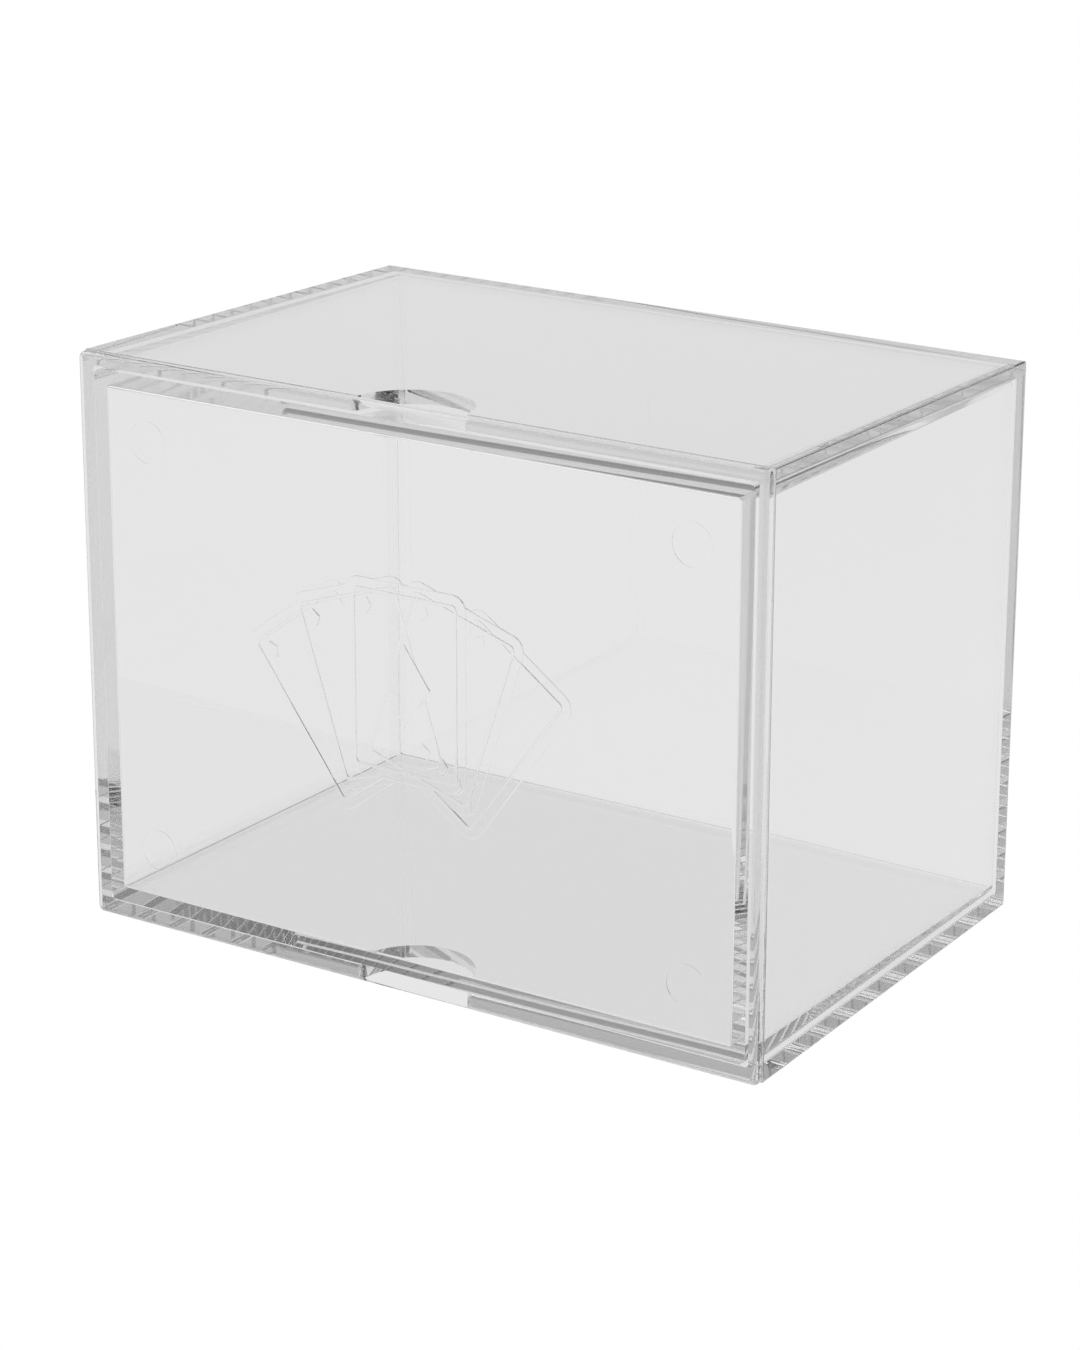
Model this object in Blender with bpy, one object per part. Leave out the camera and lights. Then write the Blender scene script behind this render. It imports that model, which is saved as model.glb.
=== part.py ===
"""Clear deck box for sleeved trading cards: a tray behind a front plate slides into a five-sided shell.

Both pieces are injection moulded. They are modelled in the box's own axes: X across the front, Y from
the front face into the box, Z up, with the origin in the middle of the front face. BOX_AXES then tips
them by the draft angle, so that the tapered box lies flat on its bottom face at z = 0.
"""

import math

import bmesh
import bpy
from mathutils import Matrix, Vector

# Outline of the closed box at its front face. Every long side narrows by DRAFT towards the back.
WIDTH = 0.1063
HEIGHT = 0.0800
DEPTH = 0.0702
DRAFT = math.radians(0.95)

# Walls and the clearances between the two pieces.
SHELL_WALL = 0.0019
PLATE = 0.0013
FIT_GAP = 0.0003
TRAY_WALL = 0.0020
TRAY_LENGTH = 0.0678
CAVITY_DRAFT = math.radians(0.05)

# Rounding of the edges. A block's end edges are always rounded less than its long edges.
LONG_RADIUS = 0.0010
FRONT_RADIUS = 0.0008
BACK_RADIUS = 0.0009
MOUTH_RADIUS = 0.0002
SHELL_INSIDE_RADIUS = 0.0006
SHELL_CORNER_FILLET = 0.0005
TRAY_OUTSIDE_RADIUS = 0.0007
TRAY_INSIDE_RADIUS = 0.0010
PLATE_FILLET = 0.0009
RIM_RADIUS = 0.0003
LONG_STEPS = 5
END_STEPS = 4

# Thumb notches in the shell's mouth, one in its top wall and one in its bottom wall.
NOTCH_RADIUS = 0.0082
NOTCH_CORNER = 0.0010
NOTCH_STEPS = 40
CORNER_STEPS = 5

# Witness marks of the four ejector pins on the inside of the front plate.
PIN_RADIUS = 0.0029
PIN_X = 0.0422
PIN_Z = 0.0289
PIN_DEPTH = 0.0001

# Emblem raised on the front face: a fan of five plain cards, each a step above the one outside it, with a
# lozenge on the middle card.
CARD_WIDTH = 0.0190
CARD_HEIGHT = 0.0270
CARD_CORNER = 0.0022
CARD_LEAN = math.radians(18)
FAN_RADIUS = 0.0180
FAN_PIVOT_Z = -0.0148
EMBLEM_STEP = 0.00013
LOZENGE_WIDTH = 0.0080
LOZENGE_HEIGHT = 0.0112

# How far a cutter runs past the face that it cuts.
MARGIN = 0.0020


def clear_scene():
    for item in list(bpy.data.objects):
        bpy.data.objects.remove(item, do_unlink=True)


def new_collection(name):
    group = bpy.data.collections.new(name)
    bpy.context.scene.collection.children.link(group)
    return group


def plastic(name, colour, roughness):
    material = bpy.data.materials.new(name)
    material.use_nodes = True
    shader = material.node_tree.nodes["Principled BSDF"]
    shader.inputs["Base Color"].default_value = (*colour, 1.0)
    shader.inputs["Roughness"].default_value = roughness
    shader.inputs["Metallic"].default_value = 0.0
    shader.inputs["Transmission Weight"].default_value = 0.9
    shader.inputs["IOR"].default_value = 1.49
    return material


def link_mesh(name, mesh_builder, group):
    mesh = bpy.data.meshes.new(name)
    mesh_builder.to_mesh(mesh)
    mesh_builder.free()
    item = bpy.data.objects.new(name, mesh)
    group.objects.link(item)
    return item


def half_section(y, inset):
    """Half the width and half the height of the box's outline at depth y, moved in by inset."""
    taper = y * math.tan(DRAFT)
    return WIDTH / 2 - taper - inset, HEIGHT / 2 - taper - inset


def long_edges(builder):
    """The edges that run from the front to the back."""
    return [e for e in builder.edges if abs((e.verts[0].co - e.verts[1].co).y) > MARGIN / 2]


def end_edges(builder, y):
    """The edges that lie in the end face at depth y."""
    near = MARGIN / 100
    return [e for e in builder.edges if all(abs(v.co.y - y) < near for v in e.verts)]


def round_edges(builder, edges, radius, steps):
    bmesh.ops.bevel(builder, geom=edges, offset=radius, offset_type="OFFSET", segments=steps,
                    profile=0.5, affect="EDGES", clamp_overlap=False)


def block(name, front, back, front_half, back_half, radii, group):
    """A rounded block between the sections at y = front and y = back; radii: long, front and back edges."""
    builder = bmesh.new()
    bmesh.ops.create_cube(builder, size=2.0)
    for vertex in builder.verts:
        at_back = vertex.co.y > 0
        half_width, half_height = back_half if at_back else front_half
        vertex.co = Vector((vertex.co.x * half_width, back if at_back else front, vertex.co.z * half_height))
    long_radius, front_radius, back_radius = radii
    round_edges(builder, long_edges(builder), long_radius, LONG_STEPS)
    for y, radius in ((front, front_radius), (back, back_radius)):
        if radius:
            round_edges(builder, end_edges(builder, y), radius, END_STEPS)
    bmesh.ops.recalc_face_normals(builder, faces=builder.faces)
    return link_mesh(name, builder, group)


def outline(name, points, low, high, group, lie=Matrix.Identity(4)):
    """A flat outline in XY, as a 2D curve extruded from z = low to z = high, made a mesh and laid by lie."""
    curve = bpy.data.curves.new(name, "CURVE")
    curve.dimensions = "2D"
    curve.fill_mode = "BOTH"
    curve.extrude = (high - low) / 2
    spline = curve.splines.new("POLY")
    spline.points.add(len(points) - 1)
    for target, (x, y) in zip(spline.points, points):
        target.co = (x, y, 0.0, 1.0)
    spline.use_cyclic_u = True
    flat = bpy.data.objects.new(name + "_outline", curve)
    group.objects.link(flat)
    depsgraph = bpy.context.evaluated_depsgraph_get()
    mesh = bpy.data.meshes.new_from_object(flat.evaluated_get(depsgraph))
    bpy.data.objects.remove(flat, do_unlink=True)
    builder = bmesh.new()
    builder.from_mesh(mesh)
    bpy.data.meshes.remove(mesh)
    bmesh.ops.remove_doubles(builder, verts=builder.verts, dist=1e-6)
    bmesh.ops.translate(builder, verts=builder.verts, vec=(0, 0, (high + low) / 2))
    bmesh.ops.transform(builder, matrix=lie, verts=builder.verts)
    bmesh.ops.recalc_face_normals(builder, faces=builder.faces)
    return link_mesh(name, builder, group)


def arc(centre, radius, start, end, steps):
    """Points round an arc, both ends included; angles in radians."""
    points = []
    for step in range(steps + 1):
        angle = start + (end - start) * step / steps
        points.append((centre[0] + radius * math.cos(angle), centre[1] + radius * math.sin(angle)))
    return points


def cut(target, cutter, operation="DIFFERENCE"):
    modifier = target.modifiers.new(cutter.name, "BOOLEAN")
    modifier.operation = operation
    modifier.solver = "EXACT"
    modifier.object = cutter


def notch_points():
    """A half circle sunk from the mouth's edge, whose two corners are rounded outwards."""
    mouth = PLATE + FIT_GAP
    reach = NOTCH_RADIUS + NOTCH_CORNER
    corner_x = math.sqrt(reach ** 2 - NOTCH_CORNER ** 2)
    lean = math.asin(NOTCH_CORNER / reach)
    corner_y = mouth + NOTCH_CORNER
    right = arc((corner_x, corner_y), NOTCH_CORNER, -math.pi / 2, lean - math.pi, CORNER_STEPS)
    middle = arc((0.0, mouth), NOTCH_RADIUS, lean, math.pi - lean, NOTCH_STEPS)[1:-1]
    left = [(-x, y) for x, y in reversed(right)]
    return [(corner_x, mouth - MARGIN)] + right + middle + left + [(-corner_x, mouth - MARGIN)]


def outer_shell(parts, cutters):
    """The five-sided cover, open at the front, with a thumb notch through its top and its bottom wall."""
    mouth = PLATE + FIT_GAP
    shell = block("outer_shell", mouth, DEPTH, half_section(mouth, 0), half_section(DEPTH, 0),
                  (LONG_RADIUS, MOUTH_RADIUS, BACK_RADIUS), parts)
    back = DEPTH - SHELL_WALL
    hollow = block("shell_hollow", mouth - MARGIN, back, half_section(mouth - MARGIN, SHELL_WALL),
                   half_section(back, SHELL_WALL),
                   (SHELL_INSIDE_RADIUS, 0, SHELL_CORNER_FILLET), cutters)
    reach = HEIGHT / 2 + MARGIN
    notch = outline("thumb_notches", notch_points(), -reach, reach, cutters)
    cut(shell, hollow)
    cut(shell, notch)
    return shell


def card_points(lean):
    """A card's rounded outline, in X and Z, leaning by an angle about the fan's pivot."""
    side = CARD_WIDTH / 2 - CARD_CORNER
    end = CARD_HEIGHT / 2 - CARD_CORNER
    upright = []
    for quarter, (side_x, side_z) in enumerate(((1, 1), (-1, 1), (-1, -1), (1, -1))):
        start = quarter * math.pi / 2
        centre = (side_x * side, side_z * end + FAN_RADIUS)
        upright += arc(centre, CARD_CORNER, start, start + math.pi / 2, CORNER_STEPS)
    sine, cosine = math.sin(lean), math.cos(lean)
    return [(x * cosine + z * sine, z * cosine - x * sine + FAN_PIVOT_Z) for x, z in upright]


def emblem_layers(cutters):
    """The fan's cards from the outer pair to the middle one, then the lozenge, each a solid rooted in the plate."""
    face = Matrix.Rotation(math.pi / 2, 4, "X")
    root = -PLATE / 4
    layers = []
    for name, turns, level in (("outer_left", -2, 1), ("outer_right", 2, 1), ("inner_left", -1, 2),
                               ("inner_right", 1, 2), ("middle", 0, 3)):
        points = card_points(turns * CARD_LEAN)
        layers.append(outline(f"{name}_card", points, root, level * EMBLEM_STEP, cutters, face))
    middle = FAN_PIVOT_Z + FAN_RADIUS
    half_width, half_height = LOZENGE_WIDTH / 2, LOZENGE_HEIGHT / 2
    lozenge = [(half_width, middle), (0, middle + half_height), (-half_width, middle), (0, middle - half_height)]
    layers.append(outline("lozenge", lozenge, root, 4 * EMBLEM_STEP, cutters, face))
    return layers


def pin_marks(cutters):
    """Discs on the cavity's front end, which sink the four ejector pin marks into the back of the plate."""
    made = []
    for side_x in (-1, 1):
        for side_z in (-1, 1):
            builder = bmesh.new()
            bmesh.ops.create_cone(builder, cap_ends=True, segments=32, radius1=PIN_RADIUS,
                                  radius2=PIN_RADIUS, depth=MARGIN,
                                  matrix=Matrix.Rotation(math.pi / 2, 4, "X"))
            centre = Vector((side_x * PIN_X, PLATE - PIN_DEPTH + MARGIN / 2, side_z * PIN_Z))
            bmesh.ops.translate(builder, verts=builder.verts, vec=centre)
            name = f"pin_mark_{'right' if side_x > 0 else 'left'}_{'top' if side_z > 0 else 'bottom'}"
            made.append(link_mesh(name, builder, cutters))
    return made


def inner_tray(parts, cutters):
    """The drawer: a front plate as large as the shell's mouth, with four walls behind it, open at the back."""
    tray = block("inner_tray", 0, PLATE, half_section(0, 0), half_section(PLATE, 0),
                 (LONG_RADIUS, FRONT_RADIUS, MOUTH_RADIUS), parts)
    inset = SHELL_WALL + FIT_GAP
    root = PLATE / 2
    sleeve = block("tray_sleeve", root, TRAY_LENGTH, half_section(root, inset),
                   half_section(TRAY_LENGTH, inset), (TRAY_OUTSIDE_RADIUS, 0, RIM_RADIUS), cutters)
    half_width, half_height = half_section(PLATE, inset + TRAY_WALL)
    back = TRAY_LENGTH + MARGIN
    grown = (back - PLATE) * math.tan(CAVITY_DRAFT)
    cavity = block("card_cavity", PLATE, back, (half_width, half_height),
                   (half_width + grown, half_height + grown),
                   (TRAY_INSIDE_RADIUS, PLATE_FILLET, 0), cutters)
    for disc in pin_marks(cutters):
        cut(cavity, disc, "UNION")
    for layer in emblem_layers(cutters):
        cut(tray, layer, "UNION")
    cut(tray, sleeve, "UNION")
    cut(tray, cavity)
    return tray


def hide_cutters(group):
    for item in group.objects:
        item.hide_render = True
        item.display_type = "WIRE"


def box_axes(group):
    """The box's own axes: tipped so that the bottom face is level, and placed over the footprint's middle."""
    lowest_front = -(HEIGHT / 2 - FRONT_RADIUS) * math.sin(DRAFT)
    back_half_height = half_section(DEPTH, BACK_RADIUS)[1]
    highest_back = DEPTH * math.cos(DRAFT) + back_half_height * math.sin(DRAFT)
    axes = bpy.data.objects.new("box_axes", None)
    axes.location = (0, -(lowest_front + highest_back) / 2, HEIGHT / 2 * math.cos(DRAFT))
    axes.rotation_euler = (-DRAFT, 0, 0)
    group.objects.link(axes)
    return axes


def main():
    clear_scene()
    parts = new_collection("card_deck_box")
    cutters = new_collection("cutters")
    axes = box_axes(parts)
    shell = outer_shell(parts, cutters)
    shell.data.materials.append(plastic("shell_plastic", (0.90, 0.91, 0.91), 0.05))
    slide = bpy.data.objects.new("tray_slide", None)
    slide.parent = axes
    parts.objects.link(slide)
    tray = inner_tray(parts, cutters)
    tray.data.materials.append(plastic("tray_plastic", (0.93, 0.94, 0.94), 0.04))
    shell.parent = axes
    tray.parent = slide
    for item in cutters.objects:
        item.parent = axes
    hide_cutters(cutters)
    for item in (shell, tray):
        item.data.shade_smooth()
        item.data.set_sharp_from_angle(angle=math.radians(30))


main()
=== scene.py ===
from functools import partial
import math

import bmesh
import bpy
from mathutils import Euler, Matrix, Vector


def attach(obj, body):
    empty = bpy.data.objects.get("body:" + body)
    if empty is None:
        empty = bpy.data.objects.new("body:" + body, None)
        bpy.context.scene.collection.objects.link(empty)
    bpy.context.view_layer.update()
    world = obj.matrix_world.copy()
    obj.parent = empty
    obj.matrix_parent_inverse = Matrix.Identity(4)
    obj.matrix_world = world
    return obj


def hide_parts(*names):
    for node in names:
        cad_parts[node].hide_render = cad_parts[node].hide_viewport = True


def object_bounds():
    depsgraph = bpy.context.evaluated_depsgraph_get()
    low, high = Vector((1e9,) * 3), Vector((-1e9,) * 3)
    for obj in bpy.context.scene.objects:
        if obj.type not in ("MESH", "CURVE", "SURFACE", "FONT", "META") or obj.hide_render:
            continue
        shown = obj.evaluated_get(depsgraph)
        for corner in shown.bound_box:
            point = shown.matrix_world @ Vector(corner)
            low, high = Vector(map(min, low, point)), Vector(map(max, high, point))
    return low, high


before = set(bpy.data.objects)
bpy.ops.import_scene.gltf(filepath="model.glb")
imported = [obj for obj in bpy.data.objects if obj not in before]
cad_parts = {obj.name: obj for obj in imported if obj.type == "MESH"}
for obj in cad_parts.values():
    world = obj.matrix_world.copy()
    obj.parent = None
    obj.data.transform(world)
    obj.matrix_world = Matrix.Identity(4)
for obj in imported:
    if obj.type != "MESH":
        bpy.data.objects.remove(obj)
cad_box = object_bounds()

# The box, as in the CAD model: outline of the closed box at its front face, and the draft of every long
# side. Everything is built in the box's own axes: X across the front, Y from the front face into the box,
# Z up, with the origin in the middle of the front face.
WIDTH = 0.1063
HEIGHT = 0.0800
DEPTH = 0.0702
DRAFT = math.radians(0.95)

# Walls and clearances, as in the CAD model. The tray's length is measured from the front face.
SHELL_WALL = 0.0019
PLATE = 0.0013
FIT_GAP = 0.0003
TRAY_WALL = 0.0020
TRAY_LENGTH = 0.0678
CAVITY_DRAFT = math.radians(0.05)

# The CAD model's roundings at the two ends of the box, which decide where its footprint's middle is.
CAD_FRONT_RADIUS = 0.0008
CAD_BACK_RADIUS = 0.0009

# Roundings of the visual pieces. Corners run from front to back, edges go round the front or the back.
PLATE_CORNER = 0.0009
PLATE_EDGE = 0.0008
SHELL_CORNER = 0.0003
SHELL_BACK_EDGE = 0.0011
MOUTH_RADIUS = 0.00015
SHELL_INSIDE_CORNER = 0.0004
SHELL_FLOOR_FILLET = 0.0007
TRAY_OUTSIDE_CORNER = 0.0010
TRAY_INSIDE_CORNER = 0.0004
PLATE_FILLET = 0.0005
RIM_RADIUS = 0.0003
CORNER_STEPS = 12
END_STEPS = 12

# Thumb notches in the shell's mouth.
NOTCH_RADIUS = 0.0082
NOTCH_CORNER = 0.0010
NOTCH_STEPS = 120

# Ejector pin marks inside the front plate.
PIN_RADIUS = 0.0029
PIN_X = 0.0422
PIN_Z = 0.0289
PIN_DEPTH = 0.0001
PIN_STEPS = 128

# Raised emblem: a fan of five plain cards, each a step above the one outside it. Each card has a moulded
# border line and two corner pips, and the middle card, three steps up, has a lozenge.
CARD_WIDTH = 0.0190
CARD_HEIGHT = 0.0270
CARD_CORNER = 0.0022
CARD_LEAN = math.radians(18)
FAN_RADIUS = 0.0180
FAN_PIVOT_Z = -0.0148
EMBLEM_STEP = 0.00010
MIDDLE_CARD_STEPS = 3
EMBLEM_ROUND = 0.00015
EMBLEM_ROUND_STEPS = 4
EMBLEM_ROOT = -PLATE / 4
BORDER_INSET = 0.0013
BORDER_LINE = 0.00045
BORDER_RISE = 0.00020
PIP_HALF_WIDTH = 0.0008
PIP_HALF_HEIGHT = 0.0012
PIP_INSET = 0.0036
LOZENGE_WIDTH = 0.0080
LOZENGE_HEIGHT = 0.0112
LOZENGE_RISE = 0.00022

# How far a cutter runs past the face that it cuts.
MARGIN = 0.0020

# Smooth shading: edges sharper than this stay sharp, and large faces outweigh the thin roundings.
SHARP_ANGLE = math.radians(32)
FACE_AREA_WEIGHT = 100

# Clear plastic: refraction, darkening per metre, flow waves, and polish that varies in soft patches.
PLASTIC_IOR = 1.49
ABSORPTION = 3.0
WAVE_SCALE = 22.0
WAVE_DETAIL = 1.0
WAVE_DISTORTION = 0.4
WAVE_HEIGHT = 0.00003
HAZE_SCALE = 140.0
HAZE_DETAIL = 4.0
HAZE_RANGE = (0.62, 0.85)
HAZE_ROUGHNESS = 0.04

# Where each piece's waves and haze are taken from in the noise, so that the two pieces differ.
SHELL_NOISE_PLACE = (0.0, 0.0, 0.0)
TRAY_NOISE_PLACE = (0.31, 0.217, -0.31)

# Studio surround: its brightness at the horizon, overhead and on the camera's side, and the spans of the
# direction's Z and Y over which it changes.
BACKDROP = 0.80
OVERHEAD = 0.26
OVERHEAD_SPAN = (0.0, 0.8)
CAMERA_SIDE = 0.74
CAMERA_SIDE_SPAN = (-0.6, 0.2)

# Softboxes: direction, cosines of the angles from it at the soft edge and at full strength, and strength.
SOFTBOXES = (((-0.52, -0.08, 0.85), 0.915, 0.965, 1.2), ((-0.86, -0.42, 0.28), 0.955, 0.975, 0.55))

# Floor: its light falls off to the right and towards the camera, over these spans.
FLOOR_RADIUS = 3.0
FLOOR_DROP = 0.0001
FLOOR_SIDES = 96
SIDE_FLOOR = 0.66
SIDE_SPAN = (0.05, 0.5)
SIDE_SKEW = 0.2
NEAR_FLOOR = 0.82
NEAR_SPAN = (-1.2, -0.1)

# Shade on the floor under the box: its brightness, and the insets from the footprint's sides between which
# it fades out.
FOOTPRINT = 0.83
FOOTPRINT_INSET_X = (0.003, 0.0015)
FOOTPRINT_INSET_Y = (0.0018, 0.0012)

# Camera: where it looks, its direction from there, and its lens.
AIM = Vector((-0.00083, -0.00277, 0.03482))
AZIMUTH = math.radians(33.681)
ELEVATION = math.radians(19.385)
ROLL = math.radians(-0.459)
DISTANCE = 0.53335
FOCAL_LENGTH = 104.75
SENSOR_WIDTH = 36

# Light that is caught inside the thick walls reflects many times before it leaves.
LIGHT_BOUNCES = 96


def link_mesh(name, builder):
    mesh = bpy.data.meshes.new(name)
    builder.to_mesh(mesh)
    builder.free()
    item = bpy.data.objects.new(name, mesh)
    bpy.context.scene.collection.objects.link(item)
    return item


def loft(name, rings, closed=False):
    """A solid through rings of points: capped at both ends, or closed from the last ring to the first."""
    builder = bmesh.new()
    rows = [[builder.verts.new(point) for point in ring] for ring in rings]
    following = rows[1:] + rows[:1] if closed else rows[1:]
    for low, high in zip(rows, following):
        for index in range(len(low)):
            after = (index + 1) % len(low)
            builder.faces.new((low[index], low[after], high[after], high[index]))
    if not closed:
        builder.faces.new(rows[0])
        builder.faces.new(rows[-1])
    bmesh.ops.recalc_face_normals(builder, faces=builder.faces)
    return link_mesh(name, builder)


def arc(centre, radius, start, end, steps):
    """Points round an arc, both ends included; angles in radians."""
    points = []
    for step in range(steps + 1):
        angle = start + (end - start) * step / steps
        points.append((centre[0] + radius * math.cos(angle), centre[1] + radius * math.sin(angle)))
    return points


def rounded_section(half, corner):
    """A rectangle's outline in X and Z with rounded corners, as points in order."""
    half_width, half_height = half
    points = []
    for quarter, (side_x, side_z) in enumerate(((1, 1), (-1, 1), (-1, -1), (1, -1))):
        start = quarter * math.pi / 2
        centre = (side_x * (half_width - corner), side_z * (half_height - corner))
        points += arc(centre, corner, start, start + math.pi / 2, CORNER_STEPS)
    return points


def half_section(y, inset):
    """Half the width and half the height of the box's outline at depth y, moved in by inset."""
    taper = y * math.tan(DRAFT)
    return WIDTH / 2 - taper - inset, HEIGHT / 2 - taper - inset


def quarter_turns(steps):
    """Angles that part a quarter of a circle into steps."""
    return [math.pi / 2 * step / steps for step in range(steps + 1)]


def block(name, front, back, front_half, back_half, corner, front_edge=0.0, back_edge=0.0):
    """A tapered block from y = front to y = back with rounded corners, front edges and back edges.

    The corners tighten where an edge turns in, but open out at a back edge that is rounder than they are.
    """
    turns = quarter_turns(END_STEPS)
    stations = [(front + front_edge * (1 - math.cos(turn)), front_edge * (1 - math.sin(turn)))
                for turn in (turns if front_edge else turns[-1:])]
    stations += [(back - back_edge * (1 - math.sin(turn)), back_edge * (1 - math.cos(turn)))
                 for turn in (turns if back_edge else turns[:1])]
    rings = []
    for y, inset in stations:
        share = (y - front) / (back - front)
        half = [low + (high - low) * share - inset for low, high in zip(front_half, back_half)]
        opens = inset and y > (front + back) / 2 and back_edge > corner
        section = rounded_section(half, corner + (inset / 2 if opens else -inset / 2))
        rings.append([(x, y, z) for x, z in section])
    return loft(name, rings)


def combine(target, others, operation):
    """Applies the other solids to target one after another, and removes them."""
    for other in others:
        modifier = target.modifiers.new(other.name, "BOOLEAN")
        modifier.operation = operation
        modifier.solver = "EXACT"
        modifier.object = other
    depsgraph = bpy.context.evaluated_depsgraph_get()
    mesh = bpy.data.meshes.new_from_object(target.evaluated_get(depsgraph))
    target.modifiers.clear()
    target.data = mesh
    for other in others:
        bpy.data.objects.remove(other, do_unlink=True)


def notch_points():
    """A half circle sunk from the mouth's edge, whose two corners are rounded outwards."""
    mouth = PLATE + FIT_GAP
    reach = NOTCH_RADIUS + NOTCH_CORNER
    corner_x = math.sqrt(reach ** 2 - NOTCH_CORNER ** 2)
    lean = math.asin(NOTCH_CORNER / reach)
    corner_y = mouth + NOTCH_CORNER
    right = arc((corner_x, corner_y), NOTCH_CORNER, -math.pi / 2, lean - math.pi, CORNER_STEPS)
    middle = arc((0.0, mouth), NOTCH_RADIUS, lean, math.pi - lean, NOTCH_STEPS)[1:-1]
    left = [(-x, y) for x, y in reversed(right)]
    return [(corner_x, mouth - MARGIN)] + right + middle + left + [(-corner_x, mouth - MARGIN)]


def outer_shell():
    """The five-sided cover, open at the front, with a thumb notch through its top and its bottom wall."""
    mouth = PLATE + FIT_GAP
    shell = block("shell_moulding", mouth, DEPTH, half_section(mouth, 0), half_section(DEPTH, 0),
                  SHELL_CORNER, MOUTH_RADIUS, SHELL_BACK_EDGE)
    back = DEPTH - SHELL_WALL
    hollow = block("shell_hollow", mouth - MARGIN, back, half_section(mouth - MARGIN, SHELL_WALL),
                   half_section(back, SHELL_WALL), SHELL_INSIDE_CORNER, 0.0, SHELL_FLOOR_FILLET)
    reach = HEIGHT / 2 + MARGIN
    notch = loft("thumb_notches", [[(x, y, z) for x, y in notch_points()] for z in (-reach, reach)])
    combine(shell, [hollow, notch], "DIFFERENCE")
    return shell


def lean_points(points, lean):
    """An outline about a card's middle, leaning with that card about the fan's pivot."""
    sine, cosine = math.sin(lean), math.cos(lean)
    return [(x * cosine + (z + FAN_RADIUS) * sine, (z + FAN_RADIUS) * cosine - x * sine + FAN_PIVOT_Z)
            for x, z in points]


def card_outline(start, inset):
    """A card's rounded outline about its middle, moved in by start + inset."""
    inset = start + inset
    corner = max(CARD_CORNER - inset, CARD_CORNER / 4)
    return rounded_section((CARD_WIDTH / 2 - inset, CARD_HEIGHT / 2 - inset), corner)


def diamond_outline(half_width, half_height, centre, inset):
    """A diamond's outline about centre, with every side moved in by inset."""
    scale = 1 - inset * math.hypot(half_width, half_height) / (half_width * half_height)
    wide, tall = half_width * scale, half_height * scale
    x, z = centre
    return [(x + wide, z), (x, z + tall), (x - wide, z), (x, z - tall)]


def raised(name, outer, top, lean, inner=None):
    """A solid rooted in the plate and proud of it by top, with a rounded rim; inner makes it a ring."""
    rim = [(EMBLEM_ROUND * (1 - math.cos(turn)), top - EMBLEM_ROUND * (1 - math.sin(turn)))
           for turn in quarter_turns(EMBLEM_ROUND_STEPS)]
    outlines = [(outer(0.0), EMBLEM_ROOT)] + [(outer(inset), rise) for inset, rise in rim]
    if inner:
        outlines += [(inner(-inset), rise) for inset, rise in reversed(rim)] + [(inner(0.0), EMBLEM_ROOT)]
    rings = [[(x, -rise, z) for x, z in lean_points(points, lean)] for points, rise in outlines]
    return loft(name, rings, closed=inner is not None)


def emblem_solids():
    """The cards from the outer pair to the middle one, with border lines and pips, and the lozenge."""
    solids = []
    for name, turns in (("outer_left", -2), ("outer_right", 2), ("inner_left", -1), ("inner_right", 1),
                        ("middle", 0)):
        lean = turns * CARD_LEAN
        top = (MIDDLE_CARD_STEPS - abs(turns)) * EMBLEM_STEP
        solids.append(raised(f"{name}_card", partial(card_outline, 0.0), top, lean))
        solids.append(raised(f"{name}_border", partial(card_outline, BORDER_INSET), top + BORDER_RISE, lean,
                             partial(card_outline, BORDER_INSET + BORDER_LINE)))
        for end in (-1, 1):
            centre = (-end * (CARD_WIDTH / 2 - PIP_INSET), end * (CARD_HEIGHT / 2 - PIP_INSET))
            pip = partial(diamond_outline, PIP_HALF_WIDTH, PIP_HALF_HEIGHT, centre)
            solids.append(raised(f"{name}_pip", pip, top + BORDER_RISE, lean))
    lozenge = partial(diamond_outline, LOZENGE_WIDTH / 2, LOZENGE_HEIGHT / 2, (0.0, 0.0))
    solids.append(raised("lozenge", lozenge, MIDDLE_CARD_STEPS * EMBLEM_STEP + LOZENGE_RISE, 0.0))
    return solids


def pin_discs():
    """Discs on the cavity's front end, which sink the ejector pin marks into the back of the plate."""
    made = []
    for side_x in (-1, 1):
        for side_z in (-1, 1):
            builder = bmesh.new()
            bmesh.ops.create_cone(builder, cap_ends=True, segments=PIN_STEPS, radius1=PIN_RADIUS,
                                  radius2=PIN_RADIUS, depth=MARGIN,
                                  matrix=Matrix.Rotation(math.pi / 2, 4, "X"))
            centre = Vector((side_x * PIN_X, PLATE - PIN_DEPTH + MARGIN / 2, side_z * PIN_Z))
            bmesh.ops.translate(builder, verts=builder.verts, vec=centre)
            made.append(link_mesh("pin_disc", builder))
    return made


def inner_tray():
    """The drawer: a front plate as large as the shell's mouth and four walls behind it, open at the back."""
    tray = block("tray_moulding", 0, PLATE, half_section(0, 0), half_section(PLATE, 0),
                 PLATE_CORNER, PLATE_EDGE, MOUTH_RADIUS)
    inset = SHELL_WALL + FIT_GAP
    root = PLATE / 2
    sleeve = block("tray_sleeve", root, TRAY_LENGTH, half_section(root, inset),
                   half_section(TRAY_LENGTH, inset), TRAY_OUTSIDE_CORNER, 0.0, RIM_RADIUS)
    half_width, half_height = half_section(PLATE, inset + TRAY_WALL)
    back = TRAY_LENGTH + MARGIN
    grown = (back - PLATE) * math.tan(CAVITY_DRAFT)
    cavity = block("card_cavity", PLATE, back, (half_width, half_height),
                   (half_width + grown, half_height + grown), TRAY_INSIDE_CORNER, PLATE_FILLET)
    combine(cavity, pin_discs(), "UNION")
    combine(tray, emblem_solids() + [sleeve], "UNION")
    combine(tray, [cavity], "DIFFERENCE")
    return tray


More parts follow.
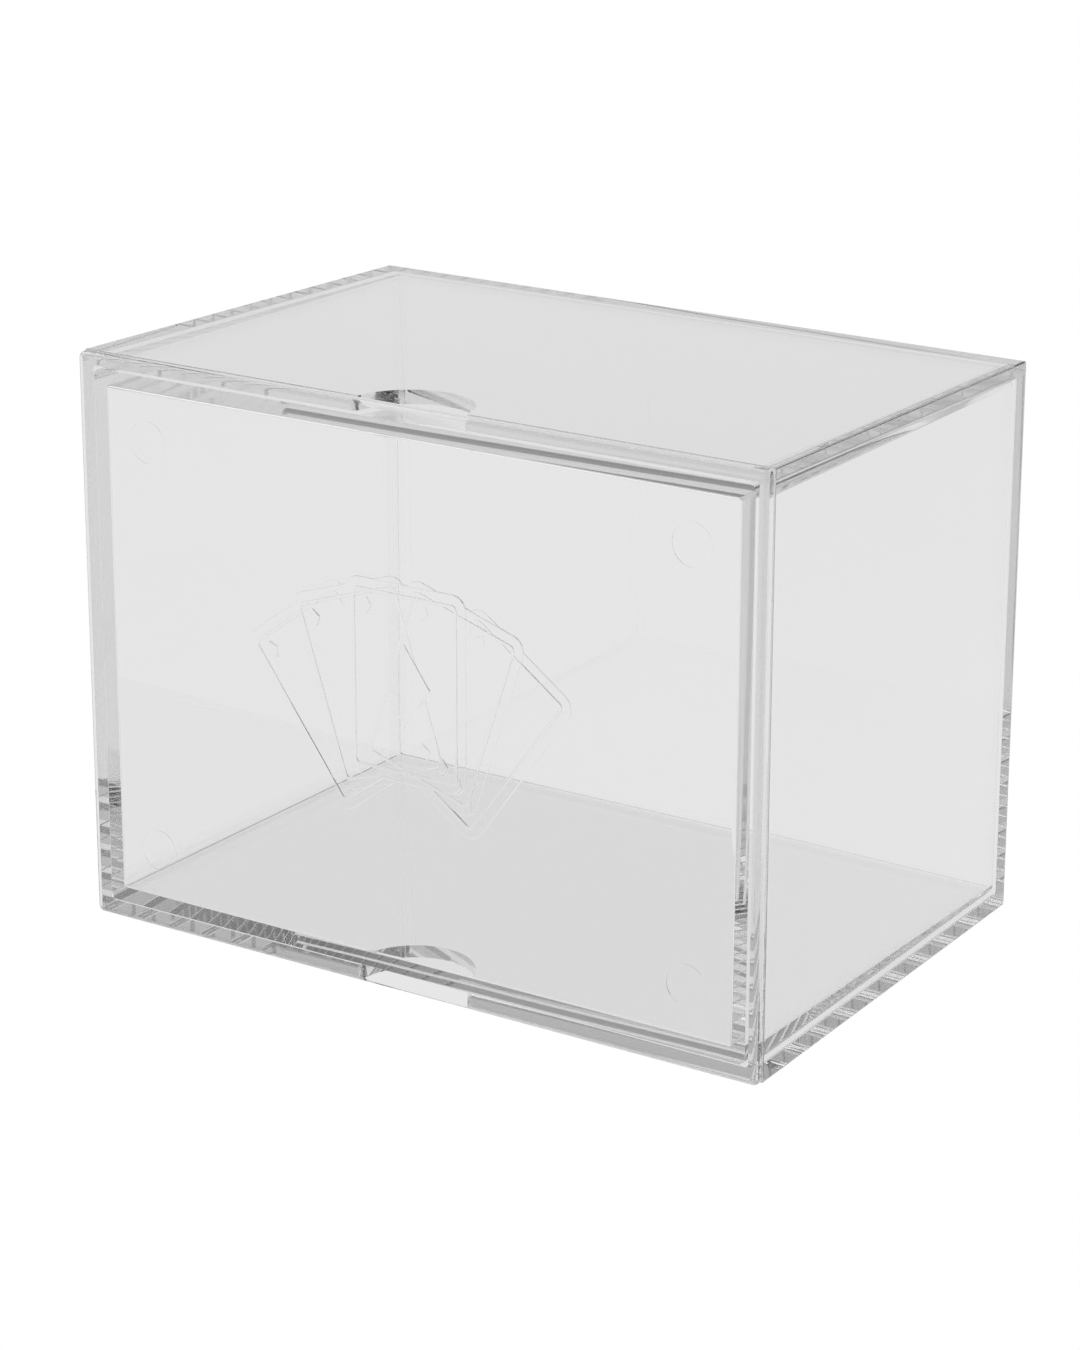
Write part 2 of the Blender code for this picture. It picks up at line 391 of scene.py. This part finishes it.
def box_axes():
    """Tips the box by its draft, so that its bottom face is level, and centres its footprint."""
    lowest_front = -(HEIGHT / 2 - CAD_FRONT_RADIUS) * math.sin(DRAFT)
    back_half_height = half_section(DEPTH, CAD_BACK_RADIUS)[1]
    highest_back = DEPTH * math.cos(DRAFT) + back_half_height * math.sin(DRAFT)
    place = Vector((0, -(lowest_front + highest_back) / 2, HEIGHT / 2 * math.cos(DRAFT)))
    return Matrix.Translation(place) @ Matrix.Rotation(-DRAFT, 4, "X")


def smooth(item):
    item.data.shade_smooth()
    item.data.set_sharp_from_angle(angle=SHARP_ANGLE)
    weighted = item.modifiers.new("weighted_normals", "WEIGHTED_NORMAL")
    weighted.keep_sharp = True
    weighted.weight = FACE_AREA_WEIGHT


def add_node(tree, kind, inputs=None, **settings):
    """Adds a node; each of its inputs is a value or another node's output. Returns its outputs."""
    made = tree.nodes.new(kind)
    for name, value in settings.items():
        setattr(made, name, value)
    for name, value in (inputs or {}).items():
        if isinstance(value, bpy.types.NodeSocket):
            tree.links.new(value, made.inputs[name])
        else:
            made.inputs[name].default_value = value
    return made.outputs


def math_node(tree, operation, *values):
    return add_node(tree, "ShaderNodeMath", dict(enumerate(values)), operation=operation)["Value"]


def ramp(tree, value, span, ends, interpolation="SMOOTHSTEP"):
    """Maps value from one pair of numbers, span, onto another, ends."""
    inputs = {"Value": value, "From Min": span[0], "From Max": span[1], "To Min": ends[0], "To Max": ends[1]}
    return add_node(tree, "ShaderNodeMapRange", inputs, interpolation_type=interpolation)["Result"]


def clear_plastic(name, noise_place):
    material = bpy.data.materials.new(name)
    material.use_nodes = True
    tree = material.node_tree
    shader = tree.nodes["Principled BSDF"]
    shader.inputs["Base Color"].default_value = (1.0, 1.0, 1.0, 1.0)
    shader.inputs["Transmission Weight"].default_value = 1.0
    shader.inputs["IOR"].default_value = PLASTIC_IOR
    coords = add_node(tree, "ShaderNodeTexCoord")["Object"]
    place = add_node(tree, "ShaderNodeMapping", {"Vector": coords, "Location": noise_place})["Vector"]

    # Long, shallow flow waves of the moulding.
    waves = add_node(tree, "ShaderNodeTexNoise", {"Vector": place, "Scale": WAVE_SCALE,
                                                  "Detail": WAVE_DETAIL, "Distortion": WAVE_DISTORTION})
    bump = add_node(tree, "ShaderNodeBump", {"Height": waves["Fac"], "Strength": 1.0,
                                             "Distance": WAVE_HEIGHT})
    tree.links.new(bump["Normal"], shader.inputs["Normal"])

    # Polish that varies in soft patches.
    haze = add_node(tree, "ShaderNodeTexNoise", {"Vector": place, "Scale": HAZE_SCALE,
                                                 "Detail": HAZE_DETAIL})
    roughness = ramp(tree, haze["Fac"], HAZE_RANGE, (0.0, HAZE_ROUGHNESS), "LINEAR")
    tree.links.new(roughness, shader.inputs["Roughness"])

    # A faint grey that only shows along thick sections.
    absorption = add_node(tree, "ShaderNodeVolumeAbsorption", {"Color": (0.0, 0.0, 0.0, 1.0),
                                                               "Density": ABSORPTION})
    tree.links.new(absorption["Volume"], tree.nodes["Material Output"].inputs["Volume"])
    return material


def white_to_camera(tree, surface, direct, output):
    """Seen directly, the studio is plain white; seen in the plastic, it has its soft falloff."""
    path = add_node(tree, "ShaderNodeLightPath")["Is Camera Ray"]
    mixed = add_node(tree, "ShaderNodeMixShader", {0: path, 1: surface, 2: direct})
    add_node(tree, output, {"Surface": mixed["Shader"]})


def studio_world():
    world = bpy.data.worlds.new("studio")
    bpy.context.scene.world = world
    world.cycles.sampling_method = "NONE"
    world.use_nodes = True
    tree = world.node_tree
    tree.nodes.clear()
    direction = add_node(tree, "ShaderNodeTexCoord")["Generated"]
    axes = add_node(tree, "ShaderNodeSeparateXYZ", {"Vector": direction})
    light = math_node(tree, "MINIMUM", ramp(tree, axes["Z"], OVERHEAD_SPAN, (BACKDROP, OVERHEAD)),
                      ramp(tree, axes["Y"], CAMERA_SIDE_SPAN, (CAMERA_SIDE, BACKDROP)))
    for toward, edge, full, strength in SOFTBOXES:
        cosine = add_node(tree, "ShaderNodeVectorMath", {0: direction, 1: Vector(toward).normalized()},
                          operation="DOT_PRODUCT")["Value"]
        light = math_node(tree, "ADD", light, ramp(tree, cosine, (edge, full), (0.0, strength)))
    surround = add_node(tree, "ShaderNodeBackground", {"Color": light})["Background"]
    white = add_node(tree, "ShaderNodeBackground", {"Color": (1.0, 1.0, 1.0, 1.0)})["Background"]
    white_to_camera(tree, surround, white, "ShaderNodeOutputWorld")


def under_box(tree, position, half_size, insets):
    """1 under the box and 0 outside it, along one axis, with a soft edge between the two insets."""
    span = tuple(half_size - inset for inset in insets)
    return ramp(tree, math_node(tree, "ABSOLUTE", position), span, (1.0, 0.0))


def floor_material():
    material = bpy.data.materials.new("floor")
    material.use_nodes = True
    material.cycles.emission_sampling = "NONE"
    tree = material.node_tree
    tree.nodes.clear()
    coords = add_node(tree, "ShaderNodeTexCoord")["Object"]
    axes = add_node(tree, "ShaderNodeSeparateXYZ", {"Vector": coords})
    aside = math_node(tree, "ADD", axes["X"], math_node(tree, "MULTIPLY", axes["Y"], SIDE_SKEW))
    light = math_node(tree, "MULTIPLY", ramp(tree, aside, SIDE_SPAN, (BACKDROP, SIDE_FLOOR)),
                      ramp(tree, axes["Y"], NEAR_SPAN, (NEAR_FLOOR, 1.0)))
    surface = add_node(tree, "ShaderNodeEmission", {"Color": light})["Emission"]
    half_width, half_depth = cad_box[1][0], cad_box[1][1]
    under = math_node(tree, "MULTIPLY", under_box(tree, axes["X"], half_width, FOOTPRINT_INSET_X),
                      under_box(tree, axes["Y"], half_depth, FOOTPRINT_INSET_Y))
    shaded = ramp(tree, under, (0.0, 1.0), (1.0, FOOTPRINT))
    direct = add_node(tree, "ShaderNodeEmission", {"Color": shaded})["Emission"]
    white_to_camera(tree, surface, direct, "ShaderNodeOutputMaterial")
    return material


def studio_floor():
    bpy.ops.mesh.primitive_circle_add(vertices=FLOOR_SIDES, radius=FLOOR_RADIUS, fill_type="NGON",
                                      location=(0, 0, -FLOOR_DROP))
    floor = bpy.context.object
    floor.name = "floor"
    floor.data.materials.append(floor_material())


def studio_camera():
    data = bpy.data.cameras.new("camera")
    data.lens = FOCAL_LENGTH
    data.sensor_width = SENSOR_WIDTH
    camera = bpy.data.objects.new("camera", data)
    bpy.context.scene.collection.objects.link(camera)
    back = Vector((math.sin(AZIMUTH) * math.cos(ELEVATION), -math.cos(AZIMUTH) * math.cos(ELEVATION),
                   math.sin(ELEVATION)))
    camera.location = AIM + back * DISTANCE
    camera.rotation_mode = "QUATERNION"
    camera.rotation_quaternion = (-back).to_track_quat("-Z", "Y") @ Euler((0, 0, ROLL)).to_quaternion()
    bpy.context.scene.camera = camera


def light_paths():
    scene = bpy.context.scene
    scene.view_settings.view_transform = "Standard"
    scene.cycles.use_denoising = True
    scene.cycles.max_bounces = LIGHT_BOUNCES
    scene.cycles.transmission_bounces = LIGHT_BOUNCES
    scene.cycles.glossy_bounces = LIGHT_BOUNCES


for maker, cad_node, body, slot, noise_place in (
        (outer_shell, "outer_shell", "shell", "shell_clear", SHELL_NOISE_PLACE),
        (inner_tray, "inner_tray", "tray", "tray_clear", TRAY_NOISE_PLACE)):
    piece = maker()
    piece.data.transform(box_axes())
    smooth(piece)
    piece.data.materials.clear()
    piece.data.materials.append(clear_plastic(cad_node + "_plastic", noise_place))
    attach(piece, body)
    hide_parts(cad_node)

studio_world()
studio_floor()
studio_camera()
light_paths()
